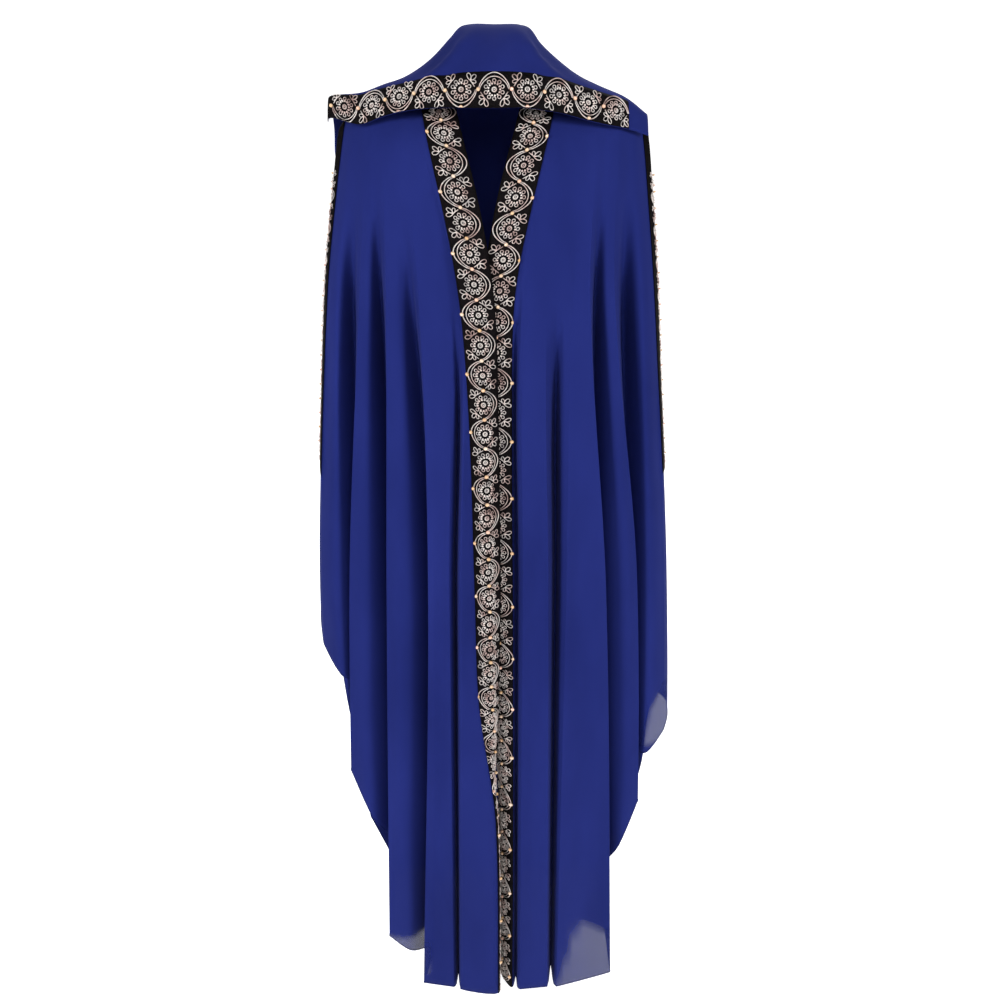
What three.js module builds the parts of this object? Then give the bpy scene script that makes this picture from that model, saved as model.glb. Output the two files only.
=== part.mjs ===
// An open-front butterfly abaya with its hood, worn by nobody: a hollow shell of cloth panels in the
// pose it takes over a pair of shoulders. Millimetres, +Z up. The wearer faces -Y, so the wearer's
// right side is -X. The origin is at the base of the neck, on the shoulder line.
//
// Each panel is a wall lofted through named fold lines. A fold line runs from the shoulder to the hem,
// and a table gives its place across the body at four heights, how far it stands out of the body's
// oval (a ridge) or behind it (a valley), where the fold starts and where the hem cuts it off.
import * as THREE from "three";

// Driving sizes.
const WALL = 1.2; // cloth, drawn as a wall
const TRIM_WALL = 1.6; // embroidered galloon
const SEAM_GAP = 0.3; // between pieces that touch
const TRIM_GAP = 0.8; // between a panel and the trim laid on its curves
const HEM_Z = -1380; // centre hem, below the base of the neck
const SIDE_HEM_Z = { right: -735, left: -940 }; // hem at the side seams
const CHEST_Z = -250;
const THIGH_Z = -680;
const ROLL_Z = -120; // above this height the cloth rolls over the shoulder
const NECK_HALF_WIDTH = 54;
const NECK_DEPTH = 52; // back neckline, behind the shoulder line
const FOLD_GROWTH = 260; // height over which a fold reaches its full depth
const SLIT_HALF_WIDTH = 16; // half of the arm opening where it gapes most
const SAMPLES = 3; // wall facets between two fold lines
const MOST_MITRE = 1.5; // a wall's corner offsets are lengthened this much at most

// Rows of a panel, as shares of each fold line's own length.
const ROW_SHARES = [0, 0.003, 0.012, 0.03, 0.055, 0.09, 0.14, 0.2, 0.27, 0.35, 0.44, 0.54, 0.65, 0.77, 0.89, 1];
const ARM_ROWS = { right: 12, left: 11 }; // where an arm opening ends and its side seam starts

// The body's oval, by height: half width on the wearer's right and left, and depth in front of and
// behind the shoulder line.
const OVAL = {
  z: [-1400, -1000, -700, -400, -250, -120, 0],
  right: [272, 272, 271, 249, 238, 222, 208],
  left: [281, 281, 264, 239, 228, 216, 205],
  front: [162, 160, 152, 138, 128, 118, 118],
  back: [138, 132, 122, 112, 108, 92, 92],
};
// The shoulder line's height, from the wearer's right tip to the left one.
const SHOULDER = {
  x: [-212, -202, -178, -150, -54, 54, 100, 150, 178, 192, 208],
  z: [-42, -24, 1, 3, 0, 0, -2, -2, -3, -18, -44],
};

const FOLD_COLUMNS = ["name", "shoulder", "chest", "thigh", "hem", "proud", "startZ", "hemZ"];

// The wearer's right front, from the front edge out to the side.
const RIGHT_FRONT_FOLDS = [
  ["band_face", -112, -49, -51, -57, 17, -250, -1372],
  ["band_valley", -118, -56, -58, -62, -26, -250, -1378],
  ["inner_face", -124, -67, -66, -68, 7, -250, -1378],
  ["inner_ridge", -132, -103, -97, -118, 8, -140, -1378],
  ["inner_valley", -139, -114, -91, -105, -46, -140, -1350],
  ["middle_ridge", -150, -148, -159, -176, 4, -100, -1305],
  ["middle_valley", -158, -158, -150, -166, -56, -100, -1170],
  ["outer_ridge", -168, -186, -217, -240, 2, -100, -1012],
  ["outer_valley", -178, -199, -203, -214, -50, -100, -880],
  ["side_corner", -198, -229, -263, -268, 19, -60, -806],
];
// The wearer's left front, from the front edge out to the side.
const LEFT_FRONT_FOLDS = [
  ["trim_valley", 88, 33, 32, 33, -22, -200, -1378],
  ["band_face", 94, 42, 40, 39, 11, -200, -1376],
  ["band_crest", 106, 72, 77, 84, 11, -240, -1376],
  ["inner_valley", 114, 87, 89, 92, -44, -240, -1382],
  ["inner_face", 124, 104, 103, 99, 7, -240, -1382],
  ["inner_ridge", 138, 129, 162, 190, 10, -90, -1378],
  ["middle_valley", 150, 138, 150, 176, -46, -90, -1215],
  ["middle_ridge", 166, 164, 211, 236, 3, -80, -1062],
  ["outer_valley", 178, 180, 199, 218, -50, -80, -1000],
  ["side_corner", 196, 219, 256, 273, 19, -60, -952],
];
// The back, from the wearer's right side to the left one.
const BACK_FOLDS = [
  ["right_side_corner", -198, -229, -263, -268, 22, -60, -806],
  ["right_outer_valley", -184, -206, -238, -246, -24, -140, -975],
  ["right_outer_face", -172, -190, -216, -222, 2, -150, -1220],
  ["right_outer_crest", -160, -170, -192, -194, 6, -160, -1305],
  ["right_far_valley", -148, -152, -172, -174, -36, -190, -1338],
  ["right_far_face", -138, -138, -154, -156, 8, -230, -1362],
  ["right_far_crest", -120, -112, -116, -120, 12, -230, -1374],
  ["right_near_valley", -104, -94, -98, -100, -34, -280, -1380],
  ["right_near_face", -88, -78, -80, -84, 10, -280, -1380],
  ["right_near_crest", -52, -46, -44, -48, 13, -320, -1380],
  ["right_centre_valley", -30, -28, -30, -32, -28, -340, -1380],
  ["centre_face", -8, -12, -14, -16, 12, -260, -1380],
  ["centre_crest", 22, 22, 24, 26, 14, -260, -1380],
  ["left_centre_valley", 38, 36, 40, 42, -30, -260, -1380],
  ["left_near_face", 58, 52, 56, 60, 12, -330, -1380],
  ["left_near_crest", 84, 78, 84, 88, 13, -330, -1380],
  ["left_near_valley", 100, 92, 98, 102, -34, -300, -1380],
  ["left_far_face", 118, 108, 116, 120, 12, -240, -1376],
  ["left_far_crest", 138, 136, 152, 156, 8, -210, -1360],
  ["left_far_valley", 150, 152, 170, 176, -38, -190, -1330],
  ["left_outer_face", 162, 170, 192, 200, 4, -170, -1282],
  ["left_outer_crest", 174, 190, 218, 230, 0, -150, -1226],
  ["left_outer_valley", 184, 206, 238, 252, -22, -140, -1080],
  ["left_side_corner", 196, 219, 256, 273, 22, -60, -954],
];

// The embroidered front edges, by height: where the trim's inner border, middle and free edge lie.
// The right edge laps over the left one, and lower down both roll inwards.
const EDGE_COLUMNS = ["z", "borderX", "borderY", "middleX", "middleY", "freeX", "freeY"];
const RIGHT_EDGE = [
  [-1400, 4, -176, 7, -152, 3, -128],
  [-1050, 0, -174, 3, -150, 0, -126],
  [-850, -24, -166, -9, -172, 3, -151],
  [-680, -29, -160, -12, -172, 7, -152],
  [-400, -36, -146, -16, -157, 4, -142],
  [-250, -47, -134, -23, -140, -1, -132],
  [-120, -71, -116, -46, -119, -22, -117],
  [0, -100, -116, -77, -119, -54, -117],
];
const LEFT_EDGE = [
  [-1400, 27, -162, 14, -142, 6, -117],
  [-1050, 27, -160, 14, -144, 5, -118],
  [-850, 26, -155, 11, -142, -4, -126],
  [-680, 25, -147, 5, -141, -17, -136],
  [-400, 23, -135, 2, -136, -21, -132],
  [-250, 27, -123, 6, -125, -17, -122],
  [-120, 51, -114, 27, -116, 3, -113],
  [0, 82, -114, 59, -116, 36, -113],
];

// The hood lies across both shoulders. A row for each place along its front edge: the trimmed edge's
// lower and upper border, the crown over the neck, the fall behind the shoulders, and the back fold.
const HOOD_COLUMNS = [
  "x", "lowY", "lowZ", "highY", "highZ", "crownY", "crownZ", "fallY", "fallZ", "backY", "backZ",
];
const HOOD = [
  [-222, -34, -24, -20, 2, 4, -6, 26, -40, 34, -84],
  [-178, -58, -30, -40, 6, 4, 3.6, 58, -22, 76, -112],
  [-150, -72, -20, -50, 14, 6, 15, 82, -20, 100, -146],
  [-122, -84, -12, -62, 21, 6, 25, 100, -16, 113, -176],
  [-86, -94, -7, -78, 30, 6, 50, 110, -6, 121, -204],
  [-60, -99, -6, -86, 34, 8, 77, 112, 4, 125, -216],
  [-44, -101, -6, -89, 36, 10, 92, 113, 10, 127, -220],
  [0, -103, -6, -92, 38, 12, 94, 114, 14, 129, -226],
  [44, -101, -6, -88, 36, 10, 91, 113, 10, 127, -220],
  [62, -98, -9, -84, 33, 8, 70, 112, 2, 125, -214],
  [86, -93, -13, -75, 28, 6, 48, 110, -8, 121, -202],
  [115, -86, -21, -63, 18, 6, 27, 102, -18, 114, -178],
  [143, -76, -28, -50, 9, 6, 14, 86, -24, 103, -148],
  [178, -58, -36, -34, -3, 8, -1.4, 58, -25, 78, -112],
  [207, -40, -46, -18, -22, 4, -23, 32, -44, 46, -84],
];
const HOOD_TRIM_END = 178; // the hood's trim stops short of its left corner
const HOOD_SEAM_HALF_WIDTH = 46;
const HOOD_FOLD_DROP = 5; // the fold at the back hangs this far below its two layers
const HOOD_SAMPLES = 2; // wall facets between two stations of the hood
// The hood's underside, from the fold up to the neck: how far across and how far down it is, as shares
// of the fold's own, and its clearance behind the back panel and above it.
const UNDERSIDE_COLUMNS = ["spread", "drop", "behind", "above"];
const HOOD_UNDERSIDE = [
  [0.95, 0.93, 8, 2],
  [0.8, 0.72, 9, 5],
  [0.62, 0.48, 9, 7],
  [0.45, 0.24, 8, 10],
  [0.3, 0.06, 5, 12],
];

// A named column of a table whose rows are plain lists.
const rowsOf = (columns, rows) => rows.map((row) => Object.fromEntries(columns.map((c, i) => [c, row[i]])));
const clamp01 = (t) => Math.min(1, Math.max(0, t));
const mix = (a, b, t) => a + (b - a) * t;
const smooth = (t) => clamp01(t) ** 2 * (3 - 2 * clamp01(t));

// A smooth curve through (knots, values), knots rising; it holds its end values outside them.
function curveAt(knots, values, at) {
  const last = knots.length - 1;
  if (at <= knots[0]) return values[0];
  if (at >= knots[last]) return values[last];
  const i = knots.findIndex((k) => k > at) - 1;
  const slope = (n) => {
    const a = Math.max(0, n - 1);
    const b = Math.min(last, n + 1);
    return (values[b] - values[a]) / (knots[b] - knots[a]);
  };
  const span = knots[i + 1] - knots[i];
  const t = (at - knots[i]) / span;
  const h = (p0, m0, p1, m1) =>
    (2 * t ** 3 - 3 * t ** 2 + 1) * p0 + (t ** 3 - 2 * t ** 2 + t) * m0 +
    (-2 * t ** 3 + 3 * t ** 2) * p1 + (t ** 3 - t ** 2) * m1;
  return h(values[i], slope(i) * span, values[i + 1], slope(i + 1) * span);
}
const oval = (column, z) => curveAt(OVAL.z, OVAL[column], z);
const shoulderZ = (x) => curveAt(SHOULDER.x, SHOULDER.z, x);
const halfWidth = (x, z) => oval(x < 0 ? "right" : "left", z);

// The height of a row on a line that runs from topZ to hemZ.
const rowZ = (topZ, hemZ, row) => mix(topZ, hemZ, ROW_SHARES[row]);

// Depth at height z of a line that starts at topY on the shoulder: a quarter of an ellipse over the
// shoulder, then depthAt(z).
function rolled(z, topZ, topY, depthAt) {
  if (z <= ROLL_Z) return depthAt(z);
  const share = (topZ - z) / (topZ - ROLL_Z);
  return mix(topY, depthAt(ROLL_Z), Math.sqrt(1 - (1 - share) ** 2));
}

// How far out of the shoulder line the body's oval lies at (x, z).
function ovalDepth(face, x, z) {
  const across = Math.min(0.985, Math.abs(x) / halfWidth(x, z));
  return oval(face, z) * Math.sqrt(1 - across ** 2);
}

// How far the back's top edge lies behind the shoulder line: the neckline's curve, or the seam.
const neckY = (x) =>
  Math.max(NECK_DEPTH * Math.sqrt(Math.max(0, 1 - (x / NECK_HALF_WIDTH) ** 2)), SEAM_GAP / 2);

// One fold line as a point for each row. face is "front" or "back".
function foldLine(fold, face) {
  const sign = face === "front" ? -1 : 1;
  const topY = face === "back" ? neckY(fold.shoulder) : -SEAM_GAP / 2;
  const topZ = shoulderZ(fold.shoulder);
  const xAt = (z) =>
    curveAt([HEM_Z, THIGH_Z, CHEST_Z, topZ], [fold.hem, fold.thigh, fold.chest, fold.shoulder], z);
  const depthAt = (z) => {
    const grown = smooth((fold.startZ - z) / FOLD_GROWTH);
    return sign * (ovalDepth(face, xAt(z), z) + fold.proud * grown);
  };
  return ROW_SHARES.map((_, row) => {
    const z = rowZ(topZ, fold.hemZ, row);
    return new THREE.Vector3(xAt(z), rolled(z, topZ, topY, depthAt), z);
  });
}

// The side of a panel, from its corner fold to its edge: the middle line and the edge itself.
// The edges of the front and the back gape at the arm opening and meet along the side seam below it.
function sideLines(corner, side, face) {
  const sign = face === "front" ? -1 : 1;
  const [hemZ, armRow] = [SIDE_HEM_Z, ARM_ROWS].map((sizes) => sizes[side < 0 ? "right" : "left"]);
  const edgeX = SHOULDER.x.at(side < 0 ? 0 : -1);
  const topZ = shoulderZ(edgeX);
  const edge = corner.map((_, row) => {
    const z = rowZ(topZ, hemZ, row);
    const gape = row < armRow ? SLIT_HALF_WIDTH * Math.sin((Math.PI * row) / armRow) : 0;
    return new THREE.Vector3(side * halfWidth(edgeX, z), sign * (SEAM_GAP / 2 + gape), z);
  });
  edge[0].x = edgeX;
  const middle = corner.map((point, row) => {
    const half = point.clone().lerp(edge[row], 0.5);
    const bulge = 3.5 * smooth(row / 3);
    return half.add(new THREE.Vector3(side * bulge, 0, 0));
  });
  return [middle, edge];
}

// The three lines of an embroidered front edge, from the free edge inwards.
function edgeLines(table, hemZ) {
  const levels = rowsOf(EDGE_COLUMNS, table);
  const knots = levels.map((level) => level.z);
  const column = (name, z) => curveAt(knots, levels.map((level) => level[name]), z);
  return ["free", "middle", "border"].map((line) => {
    const topZ = shoulderZ(column(`${line}X`, 0));
    return ROW_SHARES.map((_, row) => {
      const z = rowZ(topZ, hemZ, row);
      const y = rolled(z, topZ, -SEAM_GAP / 2, (height) => column(`${line}Y`, height));
      return new THREE.Vector3(column(`${line}X`, z), y, z);
    });
  });
}

// A grid of points through fold lines: grid[column][row]. A side of -1 or 1 keeps it on that side of
// the seams between front and back.
function loft(lines, samples, side = 0) {
  const rows = lines[0].length;
  const columns = (lines.length - 1) * samples + 1;
  const grid = Array.from({ length: columns }, () => new Array(rows));
  for (let row = 0; row < rows; row += 1) {
    const across = new THREE.CatmullRomCurve3(lines.map((line) => line[row]), false, "centripetal");
    for (let column = 0; column < columns; column += 1) {
      const point = across.getPoint(column / (columns - 1));
      if (side !== 0) point.y = side * Math.max(side * point.y, SEAM_GAP / 2);
      grid[column][row] = point;
    }
  }
  return grid;
}

// Outward normals of a grid, lengthened where the cloth turns a corner so that a wall keeps its
// thickness. flat(normal, column, row) may square one up at a seam.
function normalsOf(grid, outward, flat = () => {}) {
  const at = (list, i) => list[Math.min(list.length - 1, Math.max(0, i))];
  const last = grid.length - 1;
  const facetNormal = (left, right, row, down) =>
    right[row].clone().sub(left[row]).cross(down).multiplyScalar(outward).normalize();
  return grid.map((line, column) =>
    line.map((_, row) => {
      const down = at(line, row + 1).clone().sub(at(line, row - 1));
      const before = facetNormal(at(grid, Math.min(column, last) - 1), at(grid, Math.max(column, 1)), row, down);
      const after = facetNormal(at(grid, Math.min(column, last - 1)), at(grid, column + 1), row, down);
      const normal = before.clone().add(after).normalize();
      const stretch = Math.min(MOST_MITRE, 1 / Math.max(0.1, normal.dot(before)));
      flat(normal, column, row);
      return normal.normalize().multiplyScalar(stretch);
    }),
  );
}

// A closed wall between two offsets of a grid along its normals.
function wall(grid, normals, inner, outer) {
  const columns = grid.length;
  const rows = grid[0].length;
  const positions = [];
  for (const offset of [outer, inner]) {
    grid.forEach((line, column) =>
      line.forEach((point, row) => {
        positions.push(...point.clone().addScaledVector(normals[column][row], offset).toArray());
      }),
    );
  }
  const index = [];
  const id = (layer, column, row) => layer * columns * rows + column * rows + row;
  const quad = (a, b, c, d) => index.push(a, b, c, a, c, d);
  for (let c = 0; c < columns - 1; c += 1) {
    for (let r = 0; r < rows - 1; r += 1) {
      quad(id(0, c, r), id(0, c, r + 1), id(0, c + 1, r + 1), id(0, c + 1, r));
      quad(id(1, c, r), id(1, c + 1, r), id(1, c + 1, r + 1), id(1, c, r + 1));
    }
  }
  for (let c = 0; c < columns - 1; c += 1) {
    quad(id(0, c, 0), id(0, c + 1, 0), id(1, c + 1, 0), id(1, c, 0));
    quad(id(0, c + 1, rows - 1), id(0, c, rows - 1), id(1, c, rows - 1), id(1, c + 1, rows - 1));
  }
  for (let r = 0; r < rows - 1; r += 1) {
    quad(id(0, 0, r + 1), id(0, 0, r), id(1, 0, r), id(1, 0, r + 1));
    quad(id(0, columns - 1, r), id(0, columns - 1, r + 1), id(1, columns - 1, r + 1), id(1, columns - 1, r));
  }
  const geometry = new THREE.BufferGeometry();
  geometry.setAttribute("position", new THREE.Float32BufferAttribute(positions, 3));
  geometry.setIndex(index);
  if (volumeOf(geometry) < 0) {
    for (let i = 0; i < index.length; i += 3) [index[i + 1], index[i + 2]] = [index[i + 2], index[i + 1]];
    geometry.setIndex(index);
  }
  geometry.computeVertexNormals();
  return geometry;
}

function volumeOf(geometry) {
  const position = geometry.getAttribute("position");
  const [a, b, c] = [new THREE.Vector3(), new THREE.Vector3(), new THREE.Vector3()];
  const order = geometry.getIndex().array;
  let volume = 0;
  for (let i = 0; i < order.length; i += 3) {
    a.fromBufferAttribute(position, order[i]);
    b.fromBufferAttribute(position, order[i + 1]);
    c.fromBufferAttribute(position, order[i + 2]);
    volume += a.dot(b.cross(c)) / 6;
  }
  return volume;
}

const chiffon = new THREE.MeshStandardMaterial({ color: 0x28307f, roughness: 0.75, metalness: 0, side: THREE.DoubleSide });
const galloon = new THREE.MeshStandardMaterial({ color: 0x1b181b, roughness: 0.6, metalness: 0.1 });

const garment = new THREE.Group();
garment.name = "abaya";
function addPiece(name, geometry, material) {
  const mesh = new THREE.Mesh(geometry, material);
  mesh.name = name;
  garment.add(mesh);
}

// A panel's grid with its normals, squared off where it meets another panel.
function panel(lines, face, outward, sideColumns) {
  const grid = loft(lines, SAMPLES, face === "front" ? -1 : 1);
  const flatten = (normal, column, row) => {
    if (row === 0 || sideColumns(grid).includes(column)) normal.y = 0;
  };
  return { grid, normals: normalsOf(grid, outward, flatten) };
}
const lastColumn = (grid) => [grid.length - 1];
const bothSides = (grid) => [0, grid.length - 1];

// A trim over the columns and rows of a panel's grid.
function trimOn({ grid, normals }, [fromColumn, toColumn], [fromRow, toRow]) {
  const cut = (list) => list.slice(fromColumn, toColumn + 1).map((line) => line.slice(fromRow, toRow + 1));
  return wall(cut(grid), cut(normals), TRIM_GAP, TRIM_GAP + TRIM_WALL);
}

function frontLines(foldTable, edgeTable, side) {
  const folds = rowsOf(FOLD_COLUMNS, foldTable);
  const lines = folds.map((fold) => foldLine(fold, "front"));
  return [...edgeLines(edgeTable, HEM_Z), ...lines, ...sideLines(lines.at(-1), side, "front")];
}

function backLines() {
  const folds = rowsOf(FOLD_COLUMNS, BACK_FOLDS);
  const lines = folds.map((fold) => foldLine(fold, "back"));
  const rightSide = sideLines(lines[0], -1, "back");
  const leftSide = sideLines(lines.at(-1), 1, "back");
  return [...rightSide.reverse(), ...lines, ...leftSide];
}

const rightFront = panel(frontLines(RIGHT_FRONT_FOLDS, RIGHT_EDGE, -1), "front", 1, lastColumn);
const leftFront = panel(frontLines(LEFT_FRONT_FOLDS, LEFT_EDGE, 1), "front", -1, lastColumn);
const back = panel(backLines(), "back", 1, bothSides);

addPiece("right_front", wall(rightFront.grid, rightFront.normals, -WALL, 0), chiffon);
addPiece("left_front", wall(leftFront.grid, leftFront.normals, -WALL, 0), chiffon);
addPiece("back", wall(back.grid, back.normals, -WALL, 0), chiffon);

// The trims: down both front edges, and round both arm openings in a front and a back length.
const EDGE_ZONE = 2 * SAMPLES; // columns from an edge to its trim's inner border
const wholeLength = [0, ROW_SHARES.length - 1];
const rightArmLength = [0, ARM_ROWS.right];
const leftArmLength = [0, ARM_ROWS.left];
const innerZone = [0, EDGE_ZONE];
const outerZone = ({ grid }) => [grid.length - 1 - EDGE_ZONE, grid.length - 1];
addPiece("right_front_trim", trimOn(rightFront, innerZone, wholeLength), galloon);
addPiece("left_front_trim", trimOn(leftFront, innerZone, wholeLength), galloon);
addPiece("right_arm_trim_front", trimOn(rightFront, outerZone(rightFront), rightArmLength), galloon);
addPiece("left_arm_trim_front", trimOn(leftFront, outerZone(leftFront), leftArmLength), galloon);
addPiece("right_arm_trim_back", trimOn(back, innerZone, rightArmLength), galloon);
addPiece("left_arm_trim_back", trimOn(back, outerZone(back), leftArmLength), galloon);

// A point clear of the back panel, for the hood's underside.
function overBack(x, z, { behind, above }) {
  const y = rolled(z, shoulderZ(x), neckY(x), (height) => ovalDepth("back", x, height));
  return new THREE.Vector3(x, y + behind, z + above);
}

// The hood: stations across, each a smooth line from the front edge over the crown to the fold at the
// back, then under itself and up to the seam on the neckline.
function hoodGrid() {
  const stations = rowsOf(HOOD_COLUMNS, HOOD);
  const stops = ["low", "high", "crown", "fall", "back"];
  const lines = stations.map((station) => {
    const { x, backZ, backY } = station;
    const over = stops.map((stop) => new THREE.Vector3(x, station[`${stop}Y`], station[`${stop}Z`]));
    const under = rowsOf(UNDERSIDE_COLUMNS, HOOD_UNDERSIDE).map((stop) =>
      overBack(x * stop.spread, backZ * stop.drop, stop),
    );
    const turn = under[0].clone().lerp(over.at(-1), 0.5).setZ(backZ - HOOD_FOLD_DROP);
    const seamX = (x / HOOD.at(-1)[0]) * HOOD_SEAM_HALF_WIDTH;
    const seam = new THREE.Vector3(seamX, neckY(seamX) + WALL, SEAM_GAP + 0.1);
    const profile = new THREE.CatmullRomCurve3([...over, turn, ...under, seam], false, "centripetal");
    const spans = profile.points.length - 1;
    const shares = profile.points.flatMap((_, i) => {
      const facets = i < over.length - 1 ? SAMPLES : 1;
      return Array.from({ length: facets }, (_, facet) => (i + facet / facets) / spans);
    });
    return shares.map((share) => profile.getPoint(share));
  });
  return loft(lines, HOOD_SAMPLES);
}
const hoodPoints = hoodGrid();
const hood = { grid: hoodPoints, normals: normalsOf(hoodPoints, 1) };
addPiece("hood", wall(hood.grid, hood.normals, -WALL, 0), chiffon);
const trimStation = HOOD.findIndex(([x]) => x === HOOD_TRIM_END);
addPiece("hood_trim", trimOn(hood, [0, trimStation * HOOD_SAMPLES], [0, SAMPLES]), galloon);

export default garment;
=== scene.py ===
"""An open-front butterfly abaya with its hood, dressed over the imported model.

Sizes in the tables are millimetres in the part's frame: +Z up, the wearer faces -Y, the wearer's
right side is -X. Meshes are made in metres.
"""
import math

import bpy
import numpy as np
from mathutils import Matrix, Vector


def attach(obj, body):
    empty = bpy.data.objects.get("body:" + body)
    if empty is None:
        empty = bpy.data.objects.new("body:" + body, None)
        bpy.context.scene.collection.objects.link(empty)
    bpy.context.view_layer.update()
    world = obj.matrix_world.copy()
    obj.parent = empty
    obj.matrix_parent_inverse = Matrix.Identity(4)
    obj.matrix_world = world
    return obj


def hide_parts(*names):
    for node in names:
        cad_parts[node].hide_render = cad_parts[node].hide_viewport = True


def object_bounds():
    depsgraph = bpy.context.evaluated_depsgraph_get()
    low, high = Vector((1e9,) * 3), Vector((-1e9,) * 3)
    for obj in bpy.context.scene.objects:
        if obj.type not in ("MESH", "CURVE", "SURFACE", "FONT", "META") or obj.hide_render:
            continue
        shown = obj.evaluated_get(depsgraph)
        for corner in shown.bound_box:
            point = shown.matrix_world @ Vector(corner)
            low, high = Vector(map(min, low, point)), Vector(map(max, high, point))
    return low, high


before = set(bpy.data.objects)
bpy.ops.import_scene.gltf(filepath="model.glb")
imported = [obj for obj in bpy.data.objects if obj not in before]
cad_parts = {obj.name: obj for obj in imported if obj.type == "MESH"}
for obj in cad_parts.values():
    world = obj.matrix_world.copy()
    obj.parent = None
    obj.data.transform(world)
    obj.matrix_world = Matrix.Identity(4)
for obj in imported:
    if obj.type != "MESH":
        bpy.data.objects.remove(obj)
cad_low, cad_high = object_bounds()

MM = 0.001
ROOT = "root"

# Camera, light and floor
CAMERA_PLACE = (0.007, -1.810, 0.118)
CAMERA_PITCH = 21.3  # degrees below the horizon
LENS = 45.72
SENSOR = 36
FLOOR_DROP = 0.09  # floor below the hem, which hangs from the shoulders
SWEEP_START = 8.0  # the flat floor's radius; past it the floor sweeps up all round
SWEEP_REACH = 6.0
SWEEP_RISE = 4.6
SWEEP_STEPS = 16
FLAT_RINGS = (0.1, 0.3, 0.6, 1.0)  # shares of the flat floor's radius
FLOOR_SIDES = 96
FLOOR_WHITE = 0.9
FLOOR_GLOW = 0.72
WORLD_STRENGTH = 0.28
# name, place, what it points at, the disk's size and its watts
LIGHTS = [
    ("right_key", (-2.3, -2.3, 1.0), (0, 0, -0.6), 1.0, 85),
    ("left_key", (2.4, -2.3, 0.9), (0, 0, -0.6), 1.0, 75),
    ("front", (0.0, -3.4, 1.4), (0, 0, -0.6), 1.4, 30),
    ("rear", (0.3, 2.6, 1.6), (0, 0, -0.4), 1.8, 60),
]


def add_camera():
    data = bpy.data.cameras.new("camera")
    data.lens = LENS
    data.sensor_width = SENSOR
    camera = bpy.data.objects.new("camera", data)
    camera.location = CAMERA_PLACE
    camera.rotation_euler = (math.radians(90 - CAMERA_PITCH), 0, 0)
    bpy.context.collection.objects.link(camera)
    bpy.context.scene.camera = camera


def add_area_light(name, place, aim, size, watts):
    data = bpy.data.lights.new(name, "AREA")
    data.shape = "DISK"
    data.size = size
    data.energy = watts
    light = bpy.data.objects.new(name, data)
    light.location = place
    direction = np.array(aim, float) - np.array(place, float)
    flat = math.hypot(direction[0], direction[1])
    light.rotation_euler = (
        math.atan2(flat, -direction[2]),
        0,
        math.atan2(direction[1], direction[0]) - math.pi / 2,
    )
    bpy.context.collection.objects.link(light)


def add_studio():
    world = bpy.data.worlds.new("studio")
    world.use_nodes = True
    background = world.node_tree.nodes["Background"]
    background.inputs["Color"].default_value = (1.0, 1.0, 1.0, 1)
    background.inputs["Strength"].default_value = WORLD_STRENGTH
    bpy.context.scene.world = world
    bpy.context.scene.view_settings.view_transform = "Standard"
    for light in LIGHTS:
        add_area_light(*light)


def floor_mesh(z):
    """A round floor whose rim sweeps up behind the view from every side."""
    rings = [(SWEEP_START * share, 0.0) for share in FLAT_RINGS]
    for step in range(1, SWEEP_STEPS + 1):
        turn = math.pi / 2 * step / SWEEP_STEPS
        rings.append((SWEEP_START + SWEEP_REACH * math.sin(turn), SWEEP_RISE * (1 - math.cos(turn))))
    points = [(0.0, 0.0, z)]
    for radius, height in rings:
        for k in range(FLOOR_SIDES):
            turn = 2 * math.pi * k / FLOOR_SIDES
            points.append((radius * math.cos(turn), radius * math.sin(turn), z + height))
    faces = [(0, 1 + k, 1 + (k + 1) % FLOOR_SIDES) for k in range(FLOOR_SIDES)]
    for ring in range(len(rings) - 1):
        for k in range(FLOOR_SIDES):
            near, far = 1 + ring * FLOOR_SIDES, 1 + (ring + 1) * FLOOR_SIDES
            following = (k + 1) % FLOOR_SIDES
            faces.append((near + k, far + k, far + following, near + following))
    mesh = bpy.data.meshes.new("floor")
    mesh.from_pydata(points, [], faces)
    mesh.polygons.foreach_set("use_smooth", [True] * len(mesh.polygons))
    return mesh


def add_floor(z):
    mesh = floor_mesh(z)
    floor = bpy.data.objects.new("floor", mesh)
    material = bpy.data.materials.new("floor_white")
    material.use_nodes = True
    shader = material.node_tree.nodes["Principled BSDF"]
    shader.inputs["Base Color"].default_value = (FLOOR_WHITE, FLOOR_WHITE, FLOOR_WHITE, 1)
    shader.inputs["Roughness"].default_value = 0.9
    shader.inputs["Specular IOR Level"].default_value = 0.0
    shader.inputs["Emission Color"].default_value = (1, 1, 1, 1)
    shader.inputs["Emission Strength"].default_value = FLOOR_GLOW
    mesh.materials.append(material)
    bpy.context.collection.objects.link(floor)


# The cut, with the sizes and tables of the part's source
SEAM_GAP = 0.3
HEM_Z = -1380
SIDE_HEM_Z = {"right": -735, "left": -940}
CHEST_Z = -250
THIGH_Z = -680
ROLL_Z = -120
NECK_HALF_WIDTH = 54
NECK_DEPTH = 52
FOLD_GROWTH = 260
SLIT_HALF_WIDTH = 16
ROW_SHARES = [0, 0.003, 0.012, 0.03, 0.055, 0.09, 0.14, 0.2, 0.27, 0.35, 0.44, 0.54, 0.65, 0.77, 0.89, 1]
ARM_ROWS = {"right": 12, "left": 11}

OVAL = {
    "z": [-1400, -1000, -700, -400, -250, -120, 0],
    "right": [272, 272, 271, 249, 238, 222, 208],
    "left": [281, 281, 264, 239, 228, 216, 205],
    "front": [162, 160, 152, 138, 128, 118, 118],
    "back": [138, 132, 122, 112, 108, 92, 92],
}
SHOULDER = {
    "x": [-212, -202, -178, -150, -54, 54, 100, 150, 178, 192, 208],
    "z": [-42, -24, 1, 3, 0, 0, -2, -2, -3, -18, -44],
}

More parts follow.
